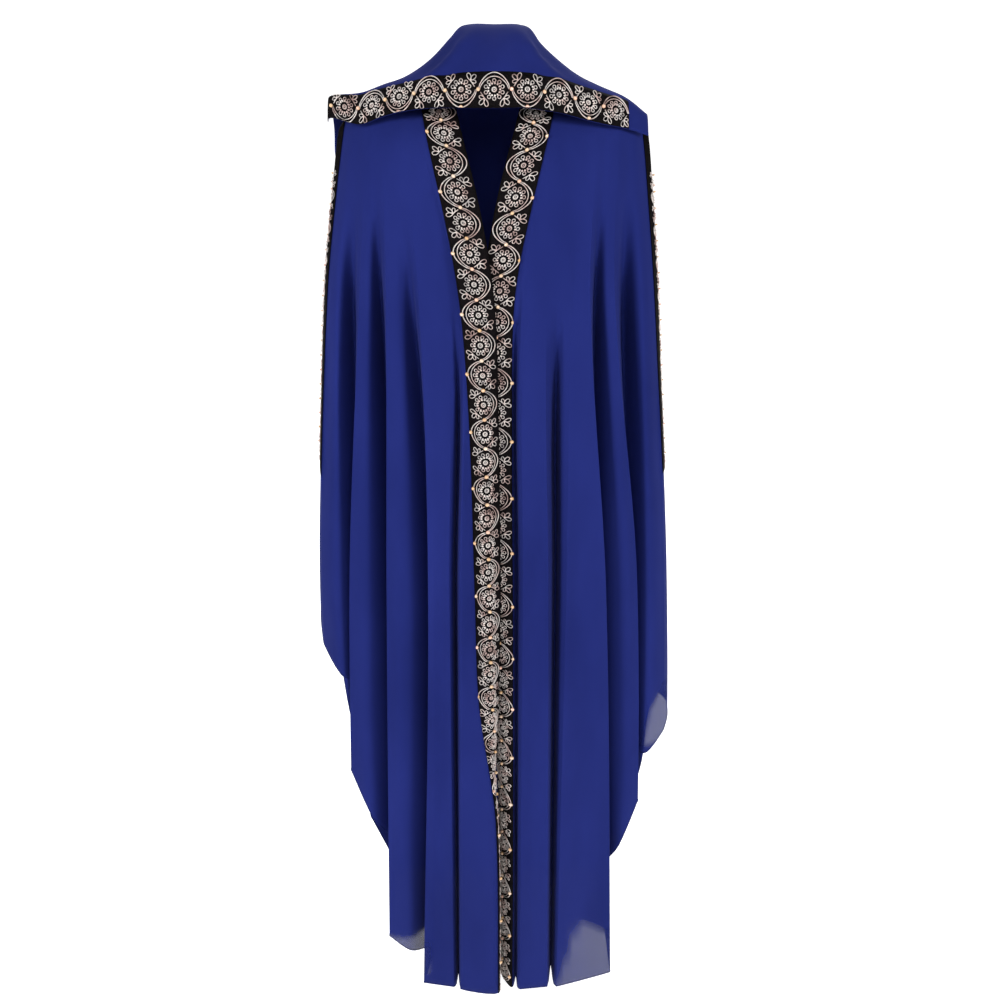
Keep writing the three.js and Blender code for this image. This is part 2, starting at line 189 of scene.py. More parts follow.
# name, x at the shoulder, chest, thigh and hem, how far proud of the oval, start height, hem height
RIGHT_FRONT_FOLDS = [
    ("band_face", -112, -49, -51, -57, 17, -250, -1372),
    ("band_valley", -118, -56, -58, -62, -26, -250, -1378),
    ("inner_face", -124, -67, -66, -68, 7, -250, -1378),
    ("inner_ridge", -132, -103, -97, -118, 8, -140, -1378),
    ("inner_valley", -139, -114, -91, -105, -46, -140, -1350),
    ("middle_ridge", -150, -148, -159, -176, 4, -100, -1305),
    ("middle_valley", -158, -158, -150, -166, -56, -100, -1170),
    ("outer_ridge", -168, -186, -217, -240, 2, -100, -1012),
    ("outer_valley", -178, -199, -203, -214, -50, -100, -880),
    ("side_corner", -203, -234, -264, -268, 19, -60, -806),
]
LEFT_FRONT_FOLDS = [
    ("trim_valley", 88, 33, 32, 33, -22, -200, -1378),
    ("band_face", 94, 42, 40, 39, 11, -200, -1376),
    ("band_crest", 106, 72, 77, 84, 11, -240, -1376),
    ("inner_valley", 114, 87, 89, 92, -44, -240, -1382),
    ("inner_face", 124, 104, 103, 99, 7, -240, -1382),
    ("inner_ridge", 138, 129, 162, 190, 10, -90, -1378),
    ("middle_valley", 150, 138, 150, 176, -46, -90, -1215),
    ("middle_ridge", 166, 164, 211, 236, 3, -80, -1062),
    ("outer_valley", 178, 180, 199, 218, -50, -80, -1000),
    ("side_corner", 199, 222, 257, 273, 19, -60, -952),
]
BACK_FOLDS = [
    ("right_side_corner", -198, -229, -263, -268, 22, -60, -806),
    ("right_outer_valley", -184, -206, -238, -246, -24, -140, -975),
    ("right_outer_face", -172, -190, -216, -222, 2, -150, -1220),
    ("right_outer_crest", -160, -170, -192, -194, 6, -160, -1305),
    ("right_far_valley", -148, -152, -172, -174, -36, -190, -1338),
    ("right_far_face", -138, -138, -154, -156, 8, -230, -1362),
    ("right_far_crest", -120, -112, -116, -120, 12, -230, -1374),
    ("right_near_valley", -104, -94, -98, -100, -34, -280, -1380),
    ("right_near_face", -88, -78, -80, -84, 10, -280, -1380),
    ("right_near_crest", -52, -46, -44, -48, 13, -320, -1380),
    ("right_centre_valley", -30, -28, -30, -32, -28, -340, -1380),
    ("centre_face", -8, -12, -14, -16, 12, -260, -1380),
    ("centre_crest", 22, 22, 24, 26, 14, -260, -1380),
    ("left_centre_valley", 38, 36, 40, 42, -30, -260, -1380),
    ("left_near_face", 58, 52, 56, 60, 12, -330, -1380),
    ("left_near_crest", 84, 78, 84, 88, 13, -330, -1380),
    ("left_near_valley", 100, 92, 98, 102, -34, -300, -1380),
    ("left_far_face", 118, 108, 116, 120, 12, -240, -1376),
    ("left_far_crest", 138, 136, 152, 156, 8, -210, -1360),
    ("left_far_valley", 150, 152, 170, 176, -38, -190, -1330),
    ("left_outer_face", 162, 170, 192, 200, 4, -170, -1282),
    ("left_outer_crest", 174, 190, 218, 230, 0, -150, -1226),
    ("left_outer_valley", 184, 206, 238, 252, -22, -140, -1080),
    ("left_side_corner", 196, 219, 256, 273, 22, -60, -954),
]
# z, then the trim's inner border, middle and free edge as x, y
RIGHT_EDGE = [
    (-1400, 4, -176, 3, -152, -2, -128),
    (-1050, 0, -174, 0, -150, -4, -126),
    (-850, -24, -166, -9, -172, 3, -151),
    (-680, -29, -160, -12, -172, 7, -152),
    (-400, -36, -146, -16, -157, 4, -142),
    (-250, -47, -134, -23, -140, -1, -132),
    (-120, -71, -116, -46, -119, -22, -117),
    (0, -100, -116, -77, -119, -54, -117),
]
LEFT_EDGE = [
    (-1400, 27, -162, 14, -142, 6, -117),
    (-1050, 27, -160, 14, -144, 5, -118),
    (-850, 26, -155, 11, -142, -4, -126),
    (-680, 25, -147, 5, -141, -17, -136),
    (-400, 23, -135, 2, -136, -21, -132),
    (-250, 27, -123, 6, -125, -17, -122),
    (-120, 51, -114, 27, -116, 3, -113),
    (0, 82, -114, 59, -116, 36, -113),
]
# x, then y and z of the front edge, the trim's upper border, the crown, the fall and the back fold
HOOD = [
    (-224, -32, -29, -18, -5, 5, -11, 26, -43, 34, -85),
    (-222, -34, -24, -20, 2, 4, -6, 26, -40, 34, -84),
    (-178, -58, -30, -40, 6, 4, 3.6, 58, -22, 76, -112),
    (-150, -72, -20, -50, 14, 6, 15, 82, -20, 100, -146),
    (-122, -84, -12, -62, 21, 6, 25, 100, -16, 113, -176),
    (-86, -94, -7, -78, 30, 6, 50, 110, -6, 121, -204),
    (-60, -99, -6, -86, 34, 8, 77, 112, 4, 125, -216),
    (-44, -101, -6, -89, 36, 10, 92, 113, 10, 127, -220),
    (0, -103, -6, -92, 38, 12, 94, 114, 14, 129, -226),
    (44, -101, -6, -88, 36, 10, 91, 113, 10, 127, -220),
    (62, -98, -9, -84, 33, 8, 70, 112, 2, 125, -214),
    (86, -93, -13, -75, 28, 6, 48, 110, -8, 121, -202),
    (115, -86, -21, -63, 18, 6, 27, 102, -18, 114, -178),
    (143, -76, -28, -50, 9, 6, 14, 86, -24, 103, -148),
    (178, -58, -36, -34, -3, 8, -1.4, 58, -25, 78, -112),
    (207, -40, -46, -18, -22, 4, -23, 32, -44, 46, -84),
]
HOOD_TRIM_STATION = 14  # the trim stops at this station
HOOD_SEAM_HALF_WIDTH = 46
HOOD_FOLD_DROP = 5
# share of the width, share of the drop, clearance behind and above the back panel
HOOD_UNDERSIDE = [
    (0.95, 0.93, 8, 2),
    (0.8, 0.72, 9, 5),
    (0.62, 0.48, 9, 7),
    (0.45, 0.24, 8, 10),
    (0.3, 0.06, 5, 12),
]

# Sampling and cloth
CLOTH = 0.5  # chiffon with its nap, as a shell
COLUMNS_PER_SPAN = 6
ROWS_PER_STEP = 9
HEM_ROWS_PER_STEP = 13
CORNER_COLUMNS = 3  # across the narrow spans beside a crest's edge
CORNER_SPAN = 0.35  # a span below this share of a fold lies beside a crest's edge
CREST_CORNER = 2.6  # the edge of a crest turns over this length on either side
SIDE_BULGE = 3.5  # how far a panel's side stands out between its corner and its edge
SIDE_BULGE_STEPS = 3  # table rows over which the bulge grows below the shoulder
CREASE_START = 0.3  # shares of a crease's length over which it begins and ends
CREASE_END = 0.25
PLEAT_DEPTH = 15  # a change of depth between two lines that makes a pleat
HEM_ROLL = 0.8  # radius of the rolled hem
TRIM_LIFT = 0.9
RIBBON = 0.5


def curve_at(knots, values, at):
    """A smooth curve through (knots, values), as the part's source has it, for an array of places."""
    knots = np.asarray(knots, float)
    values = np.asarray(values, float)
    slopes = np.empty(len(knots))
    for n in range(len(knots)):
        a, b = max(0, n - 1), min(len(knots) - 1, n + 1)
        slopes[n] = (values[b] - values[a]) / (knots[b] - knots[a])
    at = np.clip(np.asarray(at, float), knots[0], knots[-1])
    i = np.clip(np.searchsorted(knots, at, side="right") - 1, 0, len(knots) - 2)
    span = knots[i + 1] - knots[i]
    t = (at - knots[i]) / span
    return (
        (2 * t**3 - 3 * t**2 + 1) * values[i]
        + (t**3 - 2 * t**2 + t) * slopes[i] * span
        + (-2 * t**3 + 3 * t**2) * values[i + 1]
        + (t**3 - t**2) * slopes[i + 1] * span
    )


def smooth(t):
    t = np.clip(t, 0, 1)
    return t**2 * (3 - 2 * t)


def oval(column, z):
    return curve_at(OVAL["z"], OVAL[column], z)


def shoulder_z(x):
    return curve_at(SHOULDER["x"], SHOULDER["z"], x)


def half_width(side, z):
    return oval("right" if side < 0 else "left", z)


def oval_depth(face, x, z, side):
    across = np.minimum(0.985, np.abs(x) / half_width(side, z))
    return oval(face, z) * np.sqrt(1 - across**2)


def rolled(z, top_z, top_y, depth_at):
    """A quarter of an ellipse over the shoulder, then depth_at(z)."""
    share = np.clip((top_z - z) / (top_z - ROLL_Z), 0, 1)
    over = top_y + (depth_at(np.full_like(z, ROLL_Z)) - top_y) * np.sqrt(1 - (1 - share) ** 2)
    return np.where(z <= ROLL_Z, depth_at(z), over)


def neck_y(x):
    return max(NECK_DEPTH * math.sqrt(max(0, 1 - (x / NECK_HALF_WIDTH) ** 2)), SEAM_GAP / 2)


LAST_ROW = len(ROW_SHARES) - 1
HEM_ROW = LAST_ROW - 3  # from this row of the table on, the grid is finer
FINE_ROWS = np.concatenate(
    [
        np.linspace(0, HEM_ROW, HEM_ROW * ROWS_PER_STEP + 1),
        np.linspace(HEM_ROW, LAST_ROW, (LAST_ROW - HEM_ROW) * HEM_ROWS_PER_STEP + 1)[1:],
    ]
)
FINE_SHARES = curve_at(range(len(ROW_SHARES)), ROW_SHARES, FINE_ROWS)


def row_z(top_z, hem_z):
    return top_z + (hem_z - top_z) * FINE_SHARES


def fold_line(fold, face):
    _, shoulder, chest, thigh, hem, proud, start_z, hem_z = fold
    sign = -1 if face == "front" else 1
    top_y = neck_y(shoulder) if face == "back" else -SEAM_GAP / 2
    top_z = float(shoulder_z(shoulder))

    def x_at(z):
        return curve_at([HEM_Z, THIGH_Z, CHEST_Z, top_z], [hem, thigh, chest, shoulder], z)

    def depth_at(z):
        grown = smooth((start_z - z) / FOLD_GROWTH)
        x = x_at(z)
        return sign * (oval_depth(face, x, z, shoulder) + proud * grown)

    z = row_z(top_z, hem_z)
    return np.stack([x_at(z), rolled(z, top_z, top_y, depth_at), z], 1)


def between(fold, other, share, rise):
    """A line between two folds: share of the way across, rise of the way in depth."""
    mixed = [a + (b - a) * share for a, b in zip(fold[1:], other[1:])]
    mixed[4] = fold[5] + (other[5] - fold[5]) * rise
    return (f"{fold[0]}_to_{other[0]}", *mixed)


def corner_share(fold, other):
    """The share of the way from fold to other that lies within a crest's corner."""
    return CREST_CORNER / max(3 * CREST_CORNER, math.hypot(fold[3] - other[3], fold[5] - other[5]))


def with_pleats(folds):
    """Fold lines with their places. Each crest's face stays flat for half its width and then dips
    into the valley, and its edge turns under at once, in a tight corner."""
    lines, places = [], []

    def add(fold, other, n, share, rise):
        lines.append(between(fold, other, share, rise))
        places.append(n + share)

    for n, fold in enumerate(folds):
        lines.append(fold)
        places.append(n)
        if n + 1 == len(folds):
            break
        following = folds[n + 1]
        down = fold[5] - following[5]
        share = corner_share(fold, following)
        if down > PLEAT_DEPTH:
            add(fold, following, n, share, share)
            add(fold, following, n, 0.3 + share, 0.22 + share)
        elif down < -PLEAT_DEPTH:
            add(fold, following, n, 0.5, 0.86)
            add(fold, following, n, 1 - share, 1 - share / 4)
        else:
            add(fold, following, n, share, share)
            add(fold, following, n, 1 - share, 1 - share)
    return lines, places


def side_lines(corner, side, face):
    name = "right" if side < 0 else "left"
    sign = -1 if face == "front" else 1
    edge_x = SHOULDER["x"][0 if side < 0 else -1]
    z = row_z(float(shoulder_z(edge_x)), SIDE_HEM_Z[name])
    slit = np.clip(FINE_ROWS / ARM_ROWS[name], 0, 1)
    gape = SLIT_HALF_WIDTH * np.sin(math.pi * slit)
    edge = np.stack([side * half_width(side, z), sign * (SEAM_GAP / 2 + gape), z], 1)
    edge[0, 0] = edge_x
    middle = (corner + edge) / 2
    middle[:, 0] += side * SIDE_BULGE * smooth(FINE_ROWS / SIDE_BULGE_STEPS)
    return [middle, edge]


def column_curve(levels, column):
    """The curve through one column of a table over the heights in its first column."""
    return lambda z: curve_at(levels[:, 0], levels[:, column], z)


def edge_lines(table):
    """A front edge's three lines, from its free edge to the trim's inner border."""
    levels = np.array(table, float)
    lines = []
    for column in (5, 3, 1):
        x_at = column_curve(levels, column)
        y_at = column_curve(levels, column + 1)
        top_z = float(shoulder_z(x_at(0.0)))
        z = row_z(top_z, HEM_Z)
        lines.append(np.stack([x_at(z), rolled(z, top_z, -SEAM_GAP / 2, y_at), z], 1))
    return lines


def catmull(points, shares):
    """Points along a centripetal Catmull-Rom curve. points is (knots, rows, 3), shares run 0 to 1."""
    points = np.asarray(points, float)
    padded = np.concatenate([2 * points[:1] - points[1:2], points, 2 * points[-1:] - points[-2:-1]])
    place = np.asarray(shares, float) * (len(points) - 1)
    out = []
    for p in place:
        i = min(int(p), len(points) - 2)
        t = p - i
        p0, p1, p2, p3 = padded[i : i + 4]
        d0, d1, d2 = (
            np.maximum(np.linalg.norm(b - a, axis=-1, keepdims=True) ** 0.5, 0.01)
            for a, b in ((p0, p1), (p1, p2), (p2, p3))
        )
        m1 = ((p1 - p0) / d0 - (p2 - p0) / (d0 + d1) + (p2 - p1) / d1) * d1
        m2 = ((p2 - p1) / d1 - (p3 - p1) / (d1 + d2) + (p3 - p2) / d2) * d1
        out.append(
            p1 + m1 * t + (-3 * p1 + 3 * p2 - 2 * m1 - m2) * t**2 + (2 * p1 - 2 * p2 + m1 + m2) * t**3
        )
    return np.array(out)


def loft(lines, places, face):
    """A panel's grid through its lines, and the place among the folds of each of its columns."""
    sign = -1 if face == "front" else 1
    shares = []
    for n in range(len(lines) - 1):
        count = CORNER_COLUMNS if places[n + 1] - places[n] < CORNER_SPAN else COLUMNS_PER_SPAN
        shares += [n + k / count for k in range(count)]
    shares = np.array([*shares, len(lines) - 1])
    grid = catmull(lines, shares / (len(lines) - 1))
    grid[..., 1] = sign * np.maximum(sign * grid[..., 1], SEAM_GAP / 2)
    return grid, np.interp(shares, np.arange(len(places)), places)


def normals_of(grid, outward):
    across = np.gradient(grid, axis=0)
    down = np.gradient(grid, axis=1)
    normal = np.cross(across, down) * outward
    return normal / np.maximum(np.linalg.norm(normal, axis=2, keepdims=True), 1e-9)


def crease(grid, normals, places, creases):
    """Pushes a grid in or out along soft lines. A crease has its place among the folds at its top and
    bottom, its heights, its half width in folds and its depth in millimetres."""
    place = places[:, None]
    z = grid[..., 2]
    push = np.zeros(z.shape)
    for top_place, low_place, top_z, low_z, half, depth in creases:
        along = (top_z - z) / (top_z - low_z)
        centre = top_place + (low_place - top_place) * along
        ends = smooth(along / CREASE_START) * smooth((1 - along) / CREASE_END)
        push += depth * ends * np.exp(-(((place - centre) / half) ** 2))
    return grid + normals * push[..., None]


# Meshes
TUBE_SIDES = 6


def shell(grid, normals, low, high):
    """Points and faces of a closed shell between two offsets of a grid."""
    columns, rows = grid.shape[:2]
    points = np.concatenate([(grid + normals * high).reshape(-1, 3), (grid + normals * low).reshape(-1, 3)])
    ids = np.arange(columns * rows).reshape(columns, rows)
    a, b, c, d = ids[:-1, :-1], ids[:-1, 1:], ids[1:, 1:], ids[1:, :-1]
    outer = np.stack([a, b, c, d], -1).reshape(-1, 4)
    inner = np.stack([a, d, c, b], -1).reshape(-1, 4) + columns * rows
    rims = []
    for edge in (ids[:, 0], ids[::-1, -1], ids[0, ::-1], ids[-1, :]):
        near, far = edge[:-1], edge[1:]
        rims.append(np.stack([near, far, far + columns * rows, near + columns * rows], -1))
    faces = np.concatenate([outer, inner, *rims])
    return points, faces


def tube(path, radius):
    """Points and faces of a closed round tube along a path."""
    path = np.asarray(path, float)
    tangent = np.gradient(path, axis=0)
    tangent /= np.maximum(np.linalg.norm(tangent, axis=1, keepdims=True), 1e-9)
    helper = np.where(np.abs(tangent[:, 2:3]) > 0.8, (1.0, 0, 0), (0, 0, 1.0))
    side = np.cross(tangent, helper)
    side /= np.linalg.norm(side, axis=1, keepdims=True)
    lift = np.cross(tangent, side)
    angles = np.linspace(0, 2 * math.pi, TUBE_SIDES, endpoint=False)
    ring = side[:, None] * np.cos(angles)[None, :, None] + lift[:, None] * np.sin(angles)[None, :, None]
    points = (path[:, None] + ring * radius).reshape(-1, 3)
    ids = np.arange(len(path) * TUBE_SIDES).reshape(len(path), TUBE_SIDES)
    turned = np.roll(ids, -1, axis=1)
    quads = np.stack([ids[:-1], ids[1:], turned[1:], turned[:-1]], -1).reshape(-1, 4)
    caps = [list(ids[0]), list(ids[-1][::-1])]
    return points, quads, caps


def make_object(name, parts, material, slot_name, nodes=()):
    """One object from several (points, faces) parts in millimetres."""
    points, faces, start = [], [], 0
    for part in parts:
        points.append(part[0])
        for block in part[1:]:
            faces.extend([[int(i) + start for i in face] for face in block])
        start += len(part[0])
    mesh = bpy.data.meshes.new(name)
    mesh.from_pydata((np.concatenate(points) * MM).tolist(), [], faces)
    mesh.validate()
    mesh.polygons.foreach_set("use_smooth", [True] * len(mesh.polygons))
    mesh.materials.append(material)
    mesh.update()
    made = bpy.data.objects.new(name, mesh)
    bpy.context.collection.objects.link(made)
    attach(made, ROOT)
    if nodes:
        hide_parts(*nodes)
    return made


# Materials
SHEER_LAYER = "sheer"
FACE_COVER = 0.97  # how much each face of a panel's shell hides
SHEER_FACE_COVER = 0.71
# places along a noise's value, and the colours there
CHIFFON_TINTS = [(0.3, (0.0074, 0.012, 0.084)), (0.7, (0.0108, 0.0168, 0.112))]
RIBBON_TINTS = [(0.35, (0.001, 0.001, 0.0012)), (0.7, (0.006, 0.0045, 0.005))]
THREAD_TINTS = [
    (0.32, (0.34, 0.31, 0.3)),
    (0.46, (0.62, 0.57, 0.54)),
    (0.56, (0.5, 0.39, 0.36)),
    (0.7, (0.26, 0.17, 0.155)),
]
PEARL_TINTS = [(0.35, (0.62, 0.47, 0.36)), (0.5, (0.5, 0.31, 0.15)), (0.65, (0.64, 0.39, 0.3))]


def new_material(name, base, roughness):
    material = bpy.data.materials.new(name)
    material.use_nodes = True
    shader = material.node_tree.nodes["Principled BSDF"]
    shader.inputs["Base Color"].default_value = (*base, 1)
    shader.inputs["Roughness"].default_value = roughness
    return material, material.node_tree, shader


def object_coordinates(tree, scale):
    coordinates = tree.nodes.new("ShaderNodeTexCoord")
    mapping = tree.nodes.new("ShaderNodeMapping")
    mapping.inputs["Scale"].default_value = scale
    tree.links.new(coordinates.outputs["Object"], mapping.inputs["Vector"])
    return mapping.outputs["Vector"]


def noise(tree, scale, vector_scale=(1, 1, 1), detail=3):
    node = tree.nodes.new("ShaderNodeTexNoise")
    node.inputs["Scale"].default_value = scale
    node.inputs["Detail"].default_value = detail
    tree.links.new(object_coordinates(tree, vector_scale), node.inputs["Vector"])
    return node.outputs["Fac"]


def tint(tree, shader, source, stops):
    """Colours a surface by a ramp over the source."""
    node = tree.nodes.new("ShaderNodeValToRGB")
    elements = node.color_ramp.elements
    while len(elements) < len(stops):
        elements.new(0.5)
    for element, (place, colour) in zip(elements, stops):
        element.position = place
        element.color = (*colour, 1)
    tree.links.new(source, node.inputs["Fac"])
    tree.links.new(node.outputs["Color"], shader.inputs["Base Color"])


def bump(tree, shader, source, strength, distance):
    node = tree.nodes.new("ShaderNodeBump")
    node.inputs["Strength"].default_value = strength
    node.inputs["Distance"].default_value = distance
    tree.links.new(source, node.inputs["Height"])
    previous = shader.inputs["Normal"].links
    if previous:
        tree.links.new(previous[0].from_socket, node.inputs["Normal"])
    tree.links.new(node.outputs["Normal"], shader.inputs["Normal"])


def chiffon_material():
    """Matte chiffon. Two layers hide what is behind them; a panel's sheer places let more through."""
    material, tree, shader = new_material("chiffon", (0.011, 0.017, 0.11), 0.85)
    shader.inputs["Specular IOR Level"].default_value = 0.03
    shader.inputs["Sheen Weight"].default_value = 0.05
    shader.inputs["Sheen Roughness"].default_value = 0.4
    shader.inputs["Sheen Tint"].default_value = (0.3, 0.34, 0.95, 1)
    tint(tree, shader, noise(tree, 9, (1, 1, 0.35)), CHIFFON_TINTS)
    sheer = tree.nodes.new("ShaderNodeAttribute")
    sheer.attribute_name = SHEER_LAYER
    cover = tree.nodes.new("ShaderNodeMapRange")
    cover.inputs["To Min"].default_value = FACE_COVER
    cover.inputs["To Max"].default_value = SHEER_FACE_COVER
    tree.links.new(sheer.outputs["Fac"], cover.inputs["Value"])
    tree.links.new(cover.outputs["Result"], shader.inputs["Alpha"])
    bump(tree, shader, noise(tree, 160, (1, 1, 0.05), 2), 0.1, 0.0012)
    bump(tree, shader, noise(tree, 900, (1, 1, 1), 1), 0.06, 0.0003)
    return material


def ribbon_material():
    material, tree, shader = new_material("galloon_ground", (0.003, 0.003, 0.004), 0.7)
    shader.inputs["Specular IOR Level"].default_value = 0.02
    weave = noise(tree, 700, (1, 1, 1), 2)
    tint(tree, shader, weave, RIBBON_TINTS)
    bump(tree, shader, weave, 0.4, 0.0006)
    return material


def thread_material():
    material, tree, shader = new_material("silver_thread", (0.75, 0.7, 0.66), 0.42)
    shader.inputs["Metallic"].default_value = 0.15
    tint(tree, shader, noise(tree, 60, (1, 1, 1), 3), THREAD_TINTS)
    bump(tree, shader, noise(tree, 1400, (1, 1, 1), 1), 0.5, 0.0004)
    return material


def pearl_material():
    material, tree, shader = new_material("pearl", (0.86, 0.62, 0.42), 0.2)
    shader.inputs["Coat Weight"].default_value = 0.7
    shader.inputs["Coat Roughness"].default_value = 0.08
    tint(tree, shader, noise(tree, 25, (1, 1, 1), 1), PEARL_TINTS)
    return material


# Embroidery, laid out in millimetres along (s) and across (t) the ribbon, h above it
MOTIF_PITCH = 41.0
VINE_SWING = 21.6
INNER_VINE_SWING = 16.2
VINE_ROUND = 0.66  # below 1 the arcs are rounder than a cosine
CORD_WIDTH = 1.45
CORD_HEIGHT = 1.2
LOOP_WIDTH = 1.15
PEARL_RADIUS = 2.7
ROSETTE_OFFSET = 0.4
VINE_STEPS = 19  # points along one arc
INNER_VINE_LENGTH = 0.92  # of the outer arc's
EYE_RADIUS = 2.7
DOTS = 13
DOT_RING = 7.6
DOT_RADIUS = 1.5
ROUND_LOOPS = 10
LOOP_RING = 11.2
LOOP_RADIUS = 2.2
LEAF_STEPS = 10
STEM_END = (17.5, 3.0)
# loops of a trefoil: along and across from its hub, and width
TREFOIL = [(6.6, 7.2, 6.4), (-3.4, 9.8, 6.2), (7.0, -2.8, 5.0)]
TREFOIL_HUB = (12.4, 11.0)
ARM_TRIM_SCALE = 0.55
ARM_TRIM_BARE = 70  # plain ribbon below the shoulder
ARM_TRIM_SHIFT = 7  # toward the opening
HOOD_TRIM_BARE = 12  # plain ribbon where the hood's end turns down


def cord_on(path, width=CORD_WIDTH, height=CORD_HEIGHT, closed=False):
    """A raised three-sided cord along a path of (s, t) points, as points (s, t, h) and faces."""
    path = np.asarray(path, float)
    if closed:
        tangent = np.roll(path, -1, axis=0) - np.roll(path, 1, axis=0)
    else:
        tangent = np.gradient(path, axis=0)
    tangent /= np.maximum(np.linalg.norm(tangent, axis=1, keepdims=True), 1e-9)
    side = np.stack([-tangent[:, 1], tangent[:, 0]], 1) * width / 2
    count = len(path)
    points = np.zeros((count, 3, 3))
    points[:, 0, :2] = path + side
    points[:, 1, :2] = path
    points[:, 1, 2] = height
    points[:, 2, :2] = path - side
    ids = np.arange(count * 3).reshape(count, 3)
    following = np.roll(ids, -1, axis=0) if closed else ids[1:]
    here = ids if closed else ids[:-1]
    quads = [
        np.stack([here[:, a], here[:, b], following[:, b], following[:, a]], -1)
        for a, b in ((0, 1), (1, 2), (2, 0))
    ]
    faces = [np.concatenate(quads)]
    if not closed:
        faces.append([list(ids[0][::-1]), list(ids[-1])])
    return (points.reshape(-1, 3), *faces)


def circle(centre, radius, steps, start=0.0):
    angles = start + np.linspace(0, 2 * math.pi, steps, endpoint=False)
    return np.stack([centre[0] + radius * np.cos(angles), centre[1] + radius * np.sin(angles)], 1)


def leaf_loop(root, tip, width):
    """An oval loop from its root to its tip."""
    turn = np.linspace(0, 2 * math.pi, LEAF_STEPS, endpoint=False)
    way = np.array(tip, float)
    side = np.array([-way[1], way[0]]) / np.linalg.norm(way)
    along = (1 - np.cos(turn)) / 2
    across = width / 2 * np.sin(turn) * (0.55 + 0.45 * along)
    return np.array(root) + along[:, None] * way + across[:, None] * side


def bead_at(centre, radius, rings=3, sides=6):
    """A low bead, sunk a little into the ribbon."""
    points = []
    for ring in range(1, rings):
        polar = math.pi * ring / rings
        for k in range(sides):
            turn = 2 * math.pi * k / sides
            points.append(
                (
                    centre[0] + radius * math.sin(polar) * math.cos(turn),
                    centre[1] + radius * math.sin(polar) * math.sin(turn),
                    radius * 0.7 + radius * math.cos(polar),
                )
            )
    top, low = len(points), len(points) + 1
    points += [(centre[0], centre[1], radius * 1.7), (centre[0], centre[1], -radius * 0.3)]
    faces = []
    for k in range(sides):
        following = (k + 1) % sides
        faces.append([top, k, following])
        for ring in range(rings - 2):
            a, b = ring * sides + k, ring * sides + following
            faces.append([a, a + sides, b + sides, b])
        last = (rings - 2) * sides
        faces.append([low, last + following, last + k])
    return np.array(points), faces


def rosette_motif(bulge):
    """One rosette in an arc of the vine that bulges to one side, as thread parts and bead parts."""
    steps = np.linspace(-MOTIF_PITCH / 2, MOTIF_PITCH / 2, VINE_STEPS)
    wave = np.abs(np.cos(math.pi * steps / MOTIF_PITCH)) ** VINE_ROUND
    thread = [
        cord_on(np.stack([steps, bulge * VINE_SWING * wave], 1)),
        cord_on(np.stack([steps * INNER_VINE_LENGTH, bulge * INNER_VINE_SWING * wave], 1), 1.2, 1.0),
    ]
    centre = (0.0, -bulge * ROSETTE_OFFSET)
    thread.append(cord_on(circle(centre, EYE_RADIUS, 10), 2.0, 1.5, closed=True))
    thread.append(bead_at(centre, 1.0))
    for k in range(DOTS):
        turn = 2 * math.pi * k / DOTS
        place = (centre[0] + DOT_RING * math.cos(turn), centre[1] + DOT_RING * math.sin(turn))
        thread.append(bead_at(place, DOT_RADIUS))
    for k in range(ROUND_LOOPS):
        turn = 2 * math.pi * (k + 0.5) / ROUND_LOOPS
        hub = (centre[0] + LOOP_RING * math.cos(turn), centre[1] + LOOP_RING * math.sin(turn))
        thread.append(cord_on(circle(hub, LOOP_RADIUS, 8, turn), LOOP_WIDTH, 1.0, closed=True))
    for way in (-1, 1):
        hub = (way * TREFOIL_HUB[0], centre[1] - bulge * TREFOIL_HUB[1])
        for along, across, width in TREFOIL:
            loop = leaf_loop(hub, (way * along, -bulge * across), width)
            thread.append(cord_on(loop, LOOP_WIDTH, 1.0, closed=True))
        stem = np.linspace(hub, (way * STEM_END[0], centre[1] - bulge * STEM_END[1]), 3)
        thread.append(cord_on(stem, LOOP_WIDTH, 1.0))
        thread.append(bead_at(hub, 1.2))
    beads = [bead_at((-MOTIF_PITCH / 2, 0), PEARL_RADIUS, 5, 8)]
    if bulge > 0:
        beads.append(bead_at((0, bulge * VINE_SWING), PEARL_RADIUS, 5, 8))
    return thread, beads


class Ribbon:
    """A trim's strip of a grid, which turns (s, t, h) into points in space."""

    def __init__(self, grid, normals, lift):
        self.grid = grid + normals * lift
        self.normals = normals
        self.columns, self.rows = grid.shape[:2]
        middle = self.grid[self.columns // 2]
        steps = np.linalg.norm(np.diff(middle, axis=0), axis=1)
        self.along = np.concatenate([[0], np.cumsum(steps)])
        widths = np.linalg.norm(np.diff(self.grid, axis=0), axis=2)
        across = np.concatenate([np.zeros((1, self.rows)), np.cumsum(widths, axis=0)])
        self.across = across - across[-1:] / 2
        self.length = self.along[-1]

    def at(self, places):
        s = np.clip(places[:, 0], 0, self.length)
        row = np.clip(np.searchsorted(self.along, s) - 1, 0, self.rows - 2)
        f = ((s - self.along[row]) / np.maximum(self.along[row + 1] - self.along[row], 1e-9))[:, None]
        table = (self.across[:, row] * (1 - f.T) + self.across[:, row + 1] * f.T).T
        t = np.clip(places[:, 1], table[:, 0] + 0.3, table[:, -1] - 0.3)
        column = np.clip((table < t[:, None]).sum(1) - 1, 0, self.columns - 2)
        pick = np.arange(len(t))
        near, far = table[pick, column], table[pick, column + 1]
        g = ((t - near) / np.maximum(far - near, 1e-9))[:, None]

        def blend(field):
            low = field[column, row] * (1 - f) + field[column, row + 1] * f
            high = field[column + 1, row] * (1 - f) + field[column + 1, row + 1] * f
            return low * (1 - g) + high * g

        normal = blend(self.normals)
        normal /= np.maximum(np.linalg.norm(normal, axis=1, keepdims=True), 1e-9)
        return blend(self.grid) + normal * places[:, 2:3]


